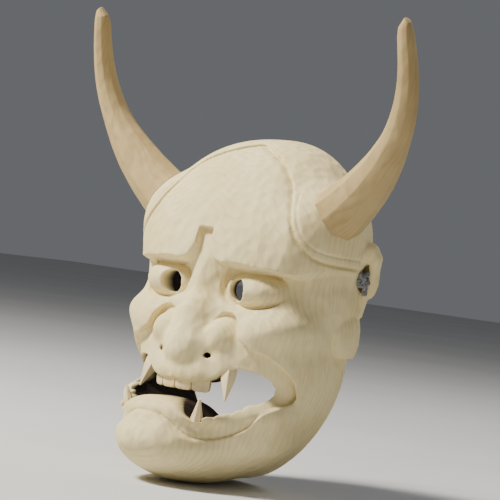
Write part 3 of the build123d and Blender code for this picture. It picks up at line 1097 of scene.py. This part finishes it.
def grain_group():
    """Growth rings and fibres: a ring mask, a fibre value and a tool-mark height."""
    group = bpy.data.node_groups.new("wood_grain", "ShaderNodeTree")
    socket(group, "Vector", "NodeSocketVector", "INPUT")
    socket(group, "Ring Spacing", "NodeSocketFloat", "INPUT", 0.0022)
    socket(group, "Waviness", "NodeSocketFloat", "INPUT", 0.004)
    socket(group, "Tool Size", "NodeSocketFloat", "INPUT", 160.0)
    socket(group, "Rings", "NodeSocketFloat", "OUTPUT")
    socket(group, "Fibres", "NodeSocketFloat", "OUTPUT")
    socket(group, "Tool Marks", "NodeSocketFloat", "OUTPUT")
    start = group.nodes.new("NodeGroupInput")
    end = group.nodes.new("NodeGroupOutput")
    vector = start.outputs["Vector"]
    split = group.nodes.new("ShaderNodeSeparateXYZ")
    link(group, vector, split.inputs[0])
    slow = noise(group, stretched(group, vector, (1.0, 1.0, 0.45)), 22.0, 2.0)
    fine = noise(group, stretched(group, vector, (1.0, 1.0, 0.4)), 90.0, 3.0)
    bend = maths(group, "MULTIPLY_ADD", maths(group, "SUBTRACT", slow, 0.5), 2.6,
                 maths(group, "MULTIPLY", maths(group, "SUBTRACT", fine, 0.5), 0.35))
    depth = maths(group, "MULTIPLY_ADD", bend, start.outputs["Waviness"], split.outputs["Y"])
    count = maths(group, "DIVIDE", depth, start.outputs["Ring Spacing"])
    share = maths(group, "FRACT", count)
    rise = spread(group, share, 0.35, 0.93)
    fall = spread(group, share, 0.93, 1.0, 1.0, 0.0)
    link(group, maths(group, "MULTIPLY", rise, fall), end.inputs["Rings"])
    threads = noise(group, stretched(group, vector, (1.0, 1.0, 0.035)), 1500.0, 4.0, 0.65)
    link(group, threads, end.inputs["Fibres"])
    cells = group.nodes.new("ShaderNodeTexVoronoi")
    cells.feature = "SMOOTH_F1"
    cells.inputs["Smoothness"].default_value = 0.35
    link(group, stretched(group, vector, (1.0, 1.0, 0.7)), cells.inputs["Vector"])
    link(group, start.outputs["Tool Size"], cells.inputs["Scale"])
    link(group, cells.outputs["Distance"], end.inputs["Tool Marks"])
    return group


wood_grain = grain_group()
print("wood group outputs:", [item.name for item in wood_grain.interface.items_tree])

# %% [markdown]
# The three woods share that group with different values. The face is pale cream, the teeth a little paler,
# and the horns a warmer tan. The hollow behind the face gets a dark brown painted shade, so the eyes and
# the mouth look dark; the points that lie deep in the block carry a note that says so.

# %% Wood materials
def new_material(name):
    """An empty node material with its shader and output."""
    material = bpy.data.materials.new(name)
    material.use_nodes = True
    tree = material.node_tree
    tree.nodes.clear()
    out = tree.nodes.new("ShaderNodeOutputMaterial")
    shader = tree.nodes.new("ShaderNodeBsdfPrincipled")
    link(tree, shader.outputs["BSDF"], out.inputs["Surface"])
    return material, tree, shader


def bump_from(tree, height, distance, strength, before=None):
    """A Bump node's normal."""
    node = tree.nodes.new("ShaderNodeBump")
    node.inputs["Distance"].default_value = distance
    node.inputs["Strength"].default_value = strength
    link(tree, height, node.inputs["Height"])
    if before is not None:
        link(tree, before, node.inputs["Normal"])
    return node.outputs["Normal"]


def wood(name, light, ring, deep, spacing, waviness, tool_size, ring_share, mark_height, shaded_hollow=False):
    """Carved bare wood: a blotched ground of two tones, darker rings and fibres, and tool marks."""
    material, tree, shader = new_material(name)
    where = tree.nodes.new("ShaderNodeTexCoord").outputs["Object"]
    grain = tree.nodes.new("ShaderNodeGroup")
    grain.node_tree = wood_grain
    grain.inputs["Ring Spacing"].default_value = spacing
    grain.inputs["Waviness"].default_value = waviness
    grain.inputs["Tool Size"].default_value = tool_size
    link(tree, where, grain.inputs["Vector"])
    blotch = spread(tree, noise(tree, where, 26.0, 4.0, 0.6), 0.35, 0.72)
    ground = mixed(tree, maths(tree, "MULTIPLY", blotch, 0.75), light, deep)
    patchy = spread(tree, noise(tree, where, 45.0, 3.0), 0.35, 0.65, 0.25, 1.0)
    lines = maths(tree, "MULTIPLY", maths(tree, "MULTIPLY", grain.outputs["Rings"], patchy), ring_share)
    ringed = mixed(tree, lines, ground, ring)
    threads = spread(tree, grain.outputs["Fibres"], 0.52, 0.78, 0.0, 0.22)
    colour = mixed(tree, threads, ringed, ring)
    rough = spread(tree, grain.outputs["Fibres"], 0.3, 0.7, 0.58, 0.74)
    # painted shade: points deep in the block get a patchy dark brown that stands for the shade in the hollow
    if shaded_hollow:
        inside = tree.nodes.new("ShaderNodeAttribute")
        inside.attribute_name = "inside"
        shade_patches = spread(tree, noise(tree, where, 60.0, 4.0, 0.65), 0.3, 0.75)
        hollow_shade = mixed(tree, shade_patches, (0.010, 0.006, 0.004), (0.026, 0.014, 0.008))
        colour = mixed(tree, inside.outputs["Fac"], colour, hollow_shade)
        rough = maths(tree, "ADD", rough, maths(tree, "MULTIPLY", inside.outputs["Fac"], 0.25))
    link(tree, colour, shader.inputs["Base Color"])
    link(tree, rough, shader.inputs["Roughness"])
    shader.inputs["Specular IOR Level"].default_value = 0.16
    marks = bump_from(tree, grain.outputs["Tool Marks"], mark_height, 0.7)
    link(tree, bump_from(tree, grain.outputs["Fibres"], 0.00006, 0.5, marks), shader.inputs["Normal"])
    return material


hinoki = wood("hinoki_face", light=(0.82, 0.70, 0.39), ring=(0.50, 0.36, 0.14), deep=(0.69, 0.56, 0.275),
              spacing=0.0030, waviness=0.0085, tool_size=150.0, ring_share=0.26, mark_height=0.0014,
              shaded_hollow=True)
hinoki_teeth = wood("hinoki_teeth", light=(0.85, 0.72, 0.44), ring=(0.62, 0.45, 0.22),
                    deep=(0.78, 0.62, 0.34), spacing=0.0030, waviness=0.004, tool_size=260.0, ring_share=0.3,
                    mark_height=0.0005)
horn_wood = wood("horn_wood", light=(0.50, 0.37, 0.175), ring=(0.33, 0.22, 0.09), deep=(0.41, 0.29, 0.13),
                 spacing=0.0026, waviness=0.006, tool_size=150.0, ring_share=0.4, mark_height=0.0006)
print("woods:", hinoki.name, hinoki_teeth.name, horn_wood.name)

# %% [markdown]
# The cord is a grey mixed yarn: dark and light hairs twisted together, with no gloss. Its pattern follows
# each strand through the UV map that was made with the strands.

# %% Cord material
def cord_fibre():
    """Salt-and-pepper yarn."""
    material, tree, shader = new_material("cord_fibre")
    uv = tree.nodes.new("ShaderNodeUVMap")
    uv.uv_map = "UVMap"
    hairs = noise(tree, stretched(tree, uv.outputs["UV"], (9.0, 2.2, 1.0), turn=(0, 0, 0.5)), 3.0, 6.0, 0.75)
    tufts = noise(tree, stretched(tree, uv.outputs["UV"], (2.0, 3.0, 1.0)), 1.6, 2.0)
    dark = mixed(tree, spread(tree, tufts, 0.35, 0.65), (0.055, 0.058, 0.062), (0.14, 0.145, 0.15))
    tone = mixed(tree, spread(tree, hairs, 0.42, 0.62), dark, (0.42, 0.43, 0.43))
    link(tree, tone, shader.inputs["Base Color"])
    shader.inputs["Roughness"].default_value = 0.95
    shader.inputs["Specular IOR Level"].default_value = 0.12
    link(tree, bump_from(tree, hairs, 0.00025, 0.9), shader.inputs["Normal"])
    return material


cord_yarn = cord_fibre()
print("cord material:", cord_yarn.name)

# %% [markdown]
# Each piece now gets its material and its body, and the plain nodes it stands for are hidden. The horns ride
# on their own bodies, because they slide out of the head on their tenons.

# %% Dress the pieces
wear(mask, hinoki, "hinoki", "mask", "mask_body")
wear(horns["right"], horn_wood, "horn_wood", "horn_right", "horn_right")
wear(horns["left"], horn_wood, "horn_wood", "horn_left", "horn_left")
wear(teeth_row, hinoki_teeth, "hinoki_teeth", "mask", "upper_teeth")
for node, piece in fangs.items():
    wear(piece, hinoki_teeth, "hinoki_teeth", "mask", node)
wear(hanging_cord, cord_yarn, "cord_fibre", "mask", "hanging_cord")
for hand, piece in knots.items():
    wear(piece, cord_yarn, "cord_fibre", "mask", "cord_knot_" + hand)

# %% [markdown]
# The floor is one pale plane just under the lowest point of the mask. The main soft lamp on the upper left
# models the face, a weaker one opens the shadows on the right, and one behind draws the edges of the horns.

# %% Floor and light
floor_z = min(cad_box[0][2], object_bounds()[0][2])
pick_only()
bpy.ops.mesh.primitive_plane_add(size=12.0, location=(0, 0, floor_z - 0.0002))
floor = newest("floor")
floor_material, floor_tree, floor_shader = new_material("floor_paper")
floor_where = floor_tree.nodes.new("ShaderNodeTexCoord").outputs["Object"]
paper = mixed(floor_tree, spread(floor_tree, noise(floor_tree, floor_where, 3.0), 0.3, 0.7),
              (0.56, 0.56, 0.555), (0.60, 0.60, 0.595))
link(floor_tree, paper, floor_shader.inputs["Base Color"])
floor_shader.inputs["Roughness"].default_value = 0.9
floor.data.materials.append(floor_material)


def soft_lamp(name, place, target, width, power, tint=(1, 1, 1)):
    """A square area lamp that looks at a point."""
    data = bpy.data.lights.new(name, "AREA")
    data.shape = "SQUARE"
    data.size = width
    data.energy = power
    data.color = tint
    lamp = bpy.data.objects.new(name, data)
    bpy.context.scene.collection.objects.link(lamp)
    lamp.location = place
    lamp.rotation_euler = (Vector(target) - Vector(place)).to_track_quat("-Z", "Y").to_euler()
    return lamp


face_middle = (0.0, -0.05, 0.03)
soft_lamp("key_lamp", (-0.72, -0.80, 1.20), face_middle, width=0.30, power=62.0, tint=(1.0, 0.96, 0.88))
soft_lamp("fill_lamp", (1.6, -0.7, 0.30), face_middle, width=1.2, power=2.2, tint=(1.0, 0.98, 0.95))
soft_lamp("rim_lamp", (0.35, 1.2, 1.1), face_middle, width=0.8, power=7.0)
world = bpy.data.worlds.new("studio")
world.use_nodes = True
world.node_tree.nodes["Background"].inputs["Color"].default_value = (0.80, 0.83, 0.88, 1.0)
world.node_tree.nodes["Background"].inputs["Strength"].default_value = 0.17
bpy.context.scene.world = world
print("floor at", round(floor_z, 4), "m")
